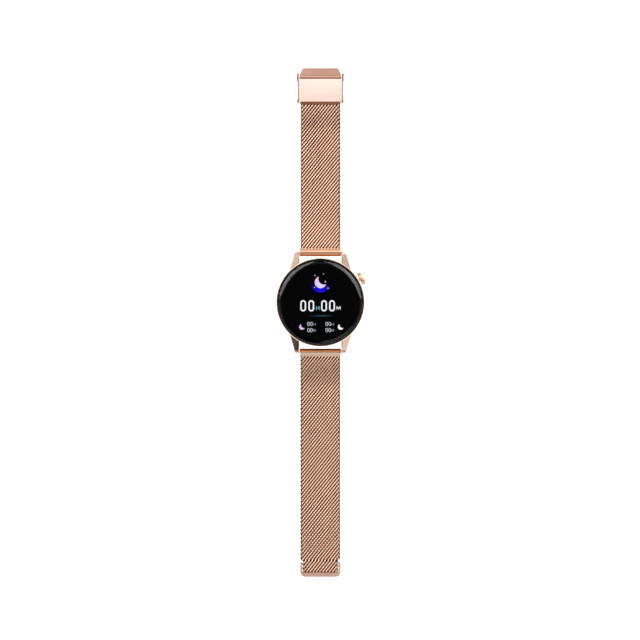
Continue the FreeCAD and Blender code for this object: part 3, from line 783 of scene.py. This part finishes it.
def screen():
    """A sleep timer: moon over a glowing bowl, an hour and minute reading, and four small readings."""
    white = lit("lit_white", [(0.0, (0.93, 0.94, 1.0)), (1.0, (0.95, 0.95, 0.98))], 20 * MM)
    lilac = lit("lit_lilac", [(0.0, (0.86, 0.70, 1.0)), (1.0, (0.70, 0.52, 0.92))], 16 * MM)
    teal = lit("lit_teal", [(0.0, (0.22, 0.60, 0.66)), (1.0, (0.20, 0.50, 0.56))], 12 * MM)
    dim = lit("lit_dim", [(0.0, (0.20, 0.25, 0.36)), (1.0, (0.24, 0.34, 0.40))], 20 * MM)
    blue = lit("lit_blue", [
        (0.0, (0.016, 0.004, 1.0)), (0.45, (0.002, 0.001, 0.42)),
        (0.8, (0.0, 0.0, 0.06)), (1.0, (0.0, 0.0, 0.0)),
    ], BOWL_GLOW * MM, BOWL_MIDDLE)
    bar = lit("lit_bar", [
        (0.0, (0.018, 0.075, 0.085)), (0.5, (0.012, 0.04, 0.05)), (1.0, (0.0, 0.0, 0.0)),
    ], BAR_REACH * MM, BAR_MIDDLE)
    bowl = arc(0, 10.3, 5.5, 196, 344, 28) + arc(0, 10.6, 4.3, 326, 214, 24, 0.85)
    prism("screen_bowl", bowl, blue, 0)
    moon("screen_moon", 0.08, 9.65, 2.82, lilac)
    for k, (x, y, reach) in enumerate(STARS):
        star(f"screen_star_{k}", x, y, reach, white)
    for k, x in enumerate(DIGITS_X):
        zero(f"screen_digit_{k}", x, DIGITS_Y, 2.78, 5.4, 0.66, white)
    letter_h("screen_hours", -1.25, UNITS_Y, 1.6, 1.85, 0.28, teal)
    letter_m("screen_minutes", 8.75, UNITS_Y, 1.95, 1.85, 0.2, white)
    prism("screen_bar", arc(*BAR_MIDDLE, BAR_REACH, 0, 354, 40, BAR_SQUEEZE), bar)
    for group, left in enumerate(SMALL_GROUPS_X):
        for row, (y, letter) in enumerate(zip(SMALL_ROWS_Y, (letter_h, letter_m))):
            tag = f"{group}_{row}"
            for k in range(2):
                zero(f"screen_small_{tag}_{k}", left + SMALL_DIGIT_STEP * k, y, 1.1, 1.8, 0.16, white)
            letter(f"screen_unit_{tag}", left + SMALL_UNIT_STEP, y - 0.15, 1.2, 1.3, 0.2, dim)
    moon("screen_moon_left", -8.85, SMALL_MOONS_Y, 1.36, lilac)
    moon("screen_moon_right", 9.75, SMALL_MOONS_Y, 1.36, white)


screen()


# ---- Stage, light and camera -----------------------------------------------
FLOOR_Z = -0.105
FLOOR_HALF = 6.0
FLOOR_GLOW = 0.2
VIEW_X, VIEW_Y = -0.0002, -0.0085
VIEW_WIDTH = 0.311
LENS = 135.0
SENSOR = 36.0
CLIP_START = 0.01
DOME = [(0.0, 0.95), (0.10, 0.95), (0.24, 0.42), (0.62, 0.42), (0.72, 0.10), (0.975, 0.05)]
BACK_EDGE, BACK_LEVEL = 0.12, 0.06        # the dome's back half beyond this edge, 1 m up
BOX_LOW, BOX_LEVEL = 0.31, 4.2            # the painted softboxes' lower edge and brightness
EDGE_SOFT = 0.012
CARDS = [                                 # direction, reach and softness in degrees, brightness
    ((0.0, 0.80, 1.0), 9.0, 2.0, 0.75),
    ((0.11, 0.80, 1.0), 7.0, 2.0, 0.45),
    ((-0.50, -0.80, 1.0), 25.0, 1.0, 0.0),
    ((0.45, -0.85, 1.0), 19.0, 1.0, 0.90),
]
SIDE_LIGHT_AT = (0.85, 0.75, 0.75)
SIDE_LIGHT_SIZE = 0.5
SIDE_LIGHT_W = 1.6
OVERHEAD_AT = (0.0, 0.15, 1.40)
OVERHEAD_SIZE = (1.1, 0.9)
OVERHEAD_W = 2.0


def stage():
    """A white floor below the watch."""
    mat, nodes, links, shader = material("floor_white")
    factor = noise(nodes, links, place(nodes, links), 3.0)
    links.new(ramp(nodes, links, factor, [(0.0, (0.93, 0.93, 0.93)), (1.0, (0.96, 0.96, 0.96))]),
              shader.inputs["Base Color"])
    shader.inputs["Roughness"].default_value = 0.9
    shader.inputs["Emission Color"].default_value = (1.0, 1.0, 1.0, 1.0)
    shader.inputs["Emission Strength"].default_value = FLOOR_GLOW
    mesh = bpy.data.meshes.new("floor")
    corners = [(x * FLOOR_HALF, y * FLOOR_HALF, FLOOR_Z) for x, y in ((-1, -1), (1, -1), (1, 1), (-1, 1))]
    mesh.from_pydata(corners, [], [(0, 1, 2, 3)])
    floor = bpy.data.objects.new("floor", mesh)
    bpy.context.scene.collection.objects.link(floor)
    dress(floor, mat)


class Sky:
    """The studio around the watch: a plain dome with softboxes and cards painted on it."""

    def __init__(self, stops):
        world = bpy.data.worlds.new("studio")
        bpy.context.scene.world = world
        world.use_nodes = True
        self.nodes, self.links = world.node_tree.nodes, world.node_tree.links
        self.way = self.nodes.new("ShaderNodeTexCoord").outputs["Generated"]
        parts = self.nodes.new("ShaderNodeSeparateXYZ")
        self.links.new(self.way, parts.inputs["Vector"])
        self.tone = ramp(self.nodes, self.links, parts.outputs["Z"], stops)

    def beyond(self, normal, low, high):
        """0 to 1 as the direction's share along normal goes from low to high."""
        dot = self.nodes.new("ShaderNodeVectorMath")
        dot.operation = "DOT_PRODUCT"
        dot.inputs[1].default_value = normal
        self.links.new(self.way, dot.inputs[0])
        step = self.nodes.new("ShaderNodeMapRange")
        step.interpolation_type = "SMOOTHSTEP"
        step.inputs["From Min"].default_value = low
        step.inputs["From Max"].default_value = high
        self.links.new(dot.outputs["Value"], step.inputs["Value"])
        return step.outputs["Result"]

    def paint(self, share, level):
        mix = self.nodes.new("ShaderNodeMix")
        mix.data_type = "RGBA"
        mix.inputs["B"].default_value = (level, level, level, 1.0)
        self.links.new(share, mix.inputs["Factor"])
        self.links.new(self.tone, mix.inputs["A"])
        self.tone = mix.outputs["Result"]

    def card(self, direction, reach, soft, level):
        """A round card; reach and soft are in degrees."""
        aim = Vector(direction).normalized()
        low = math.cos(math.radians(reach + soft))
        high = math.cos(math.radians(reach - soft))
        self.paint(self.beyond(aim, low, high), level)

    def softbox(self, side, edge_x, edge_y, low, soft, level):
        """A softbox in one back quarter beyond two edges, given 1 m up, and above a height."""
        share = self.beyond((0, 1, -edge_y), -soft, soft)
        inner = self.beyond((side, 0, -edge_x), -soft, soft)
        for edge in (inner, self.beyond((0, 0, 1), low, low + soft)):
            product = self.nodes.new("ShaderNodeMath")
            product.operation = "MULTIPLY"
            self.links.new(share, product.inputs[0])
            self.links.new(edge, product.inputs[1])
            share = product.outputs["Value"]
        self.paint(share, level)

    def finish(self):
        background = self.nodes["Background"]
        self.links.new(self.tone, background.inputs["Color"])
        background.inputs["Strength"].default_value = 1.0


def world():
    """Two softboxes in a dark back half, a brighter front half, and dark straight overhead.

    The upper lugs reflect the first two cards, and the lower lugs the other two.
    """
    sky = Sky([(height, (level, level, level)) for height, level in DOME])
    sky.paint(sky.beyond((0, 1, -BACK_EDGE), -EDGE_SOFT, EDGE_SOFT), BACK_LEVEL)
    sky.softbox(1, 0.21, 0.15, BOX_LOW, EDGE_SOFT, BOX_LEVEL)
    sky.softbox(-1, 0.27, 0.20, BOX_LOW, EDGE_SOFT, BOX_LEVEL)
    for direction, reach, soft, level in CARDS:
        sky.card(direction, reach, soft, level)
    sky.finish()


def softbox(name, location, width, height, power):
    """A rectangular area light that points at the watch."""
    data = bpy.data.lights.new(name, "AREA")
    data.shape = "RECTANGLE"
    data.size = width
    data.size_y = height
    data.energy = power
    obj = bpy.data.objects.new(name, data)
    bpy.context.scene.collection.objects.link(obj)
    obj.location = location
    obj.rotation_mode = "QUATERNION"
    obj.rotation_quaternion = (-Vector(location)).to_track_quat("-Z", "Y")
    return obj


def keep_off(light, objects):
    """Stops a light from falling on these objects."""
    group = bpy.data.collections.new(f"{light.name}_receivers")
    for obj in objects:
        group.objects.link(obj)
    light.light_linking.receiver_collection = group
    for entry in group.collection_objects:
        entry.light_linking.link_state = "EXCLUDE"


def camera():
    data = bpy.data.cameras.new("camera")
    data.lens = LENS
    data.sensor_width = SENSOR
    data.clip_start = CLIP_START
    obj = bpy.data.objects.new("camera", data)
    bpy.context.scene.collection.objects.link(obj)
    obj.location = (VIEW_X, VIEW_Y, VIEW_WIDTH * LENS / SENSOR)
    bpy.context.scene.camera = obj


stage()
world()
for side_name, sign in (("left", -1), ("right", 1)):
    place_x, place_y, place_z = SIDE_LIGHT_AT
    softbox(f"softbox_{side_name}", (sign * place_x, place_y, place_z),
            SIDE_LIGHT_SIZE, SIDE_LIGHT_SIZE, SIDE_LIGHT_W)
overhead = softbox("softbox_overhead", OVERHEAD_AT, *OVERHEAD_SIZE, OVERHEAD_W)
keep_off(overhead, [glass, NODES["bezel_ring"], NODES["display_panel"]])
camera()
bpy.context.scene.view_settings.view_transform = "Standard"
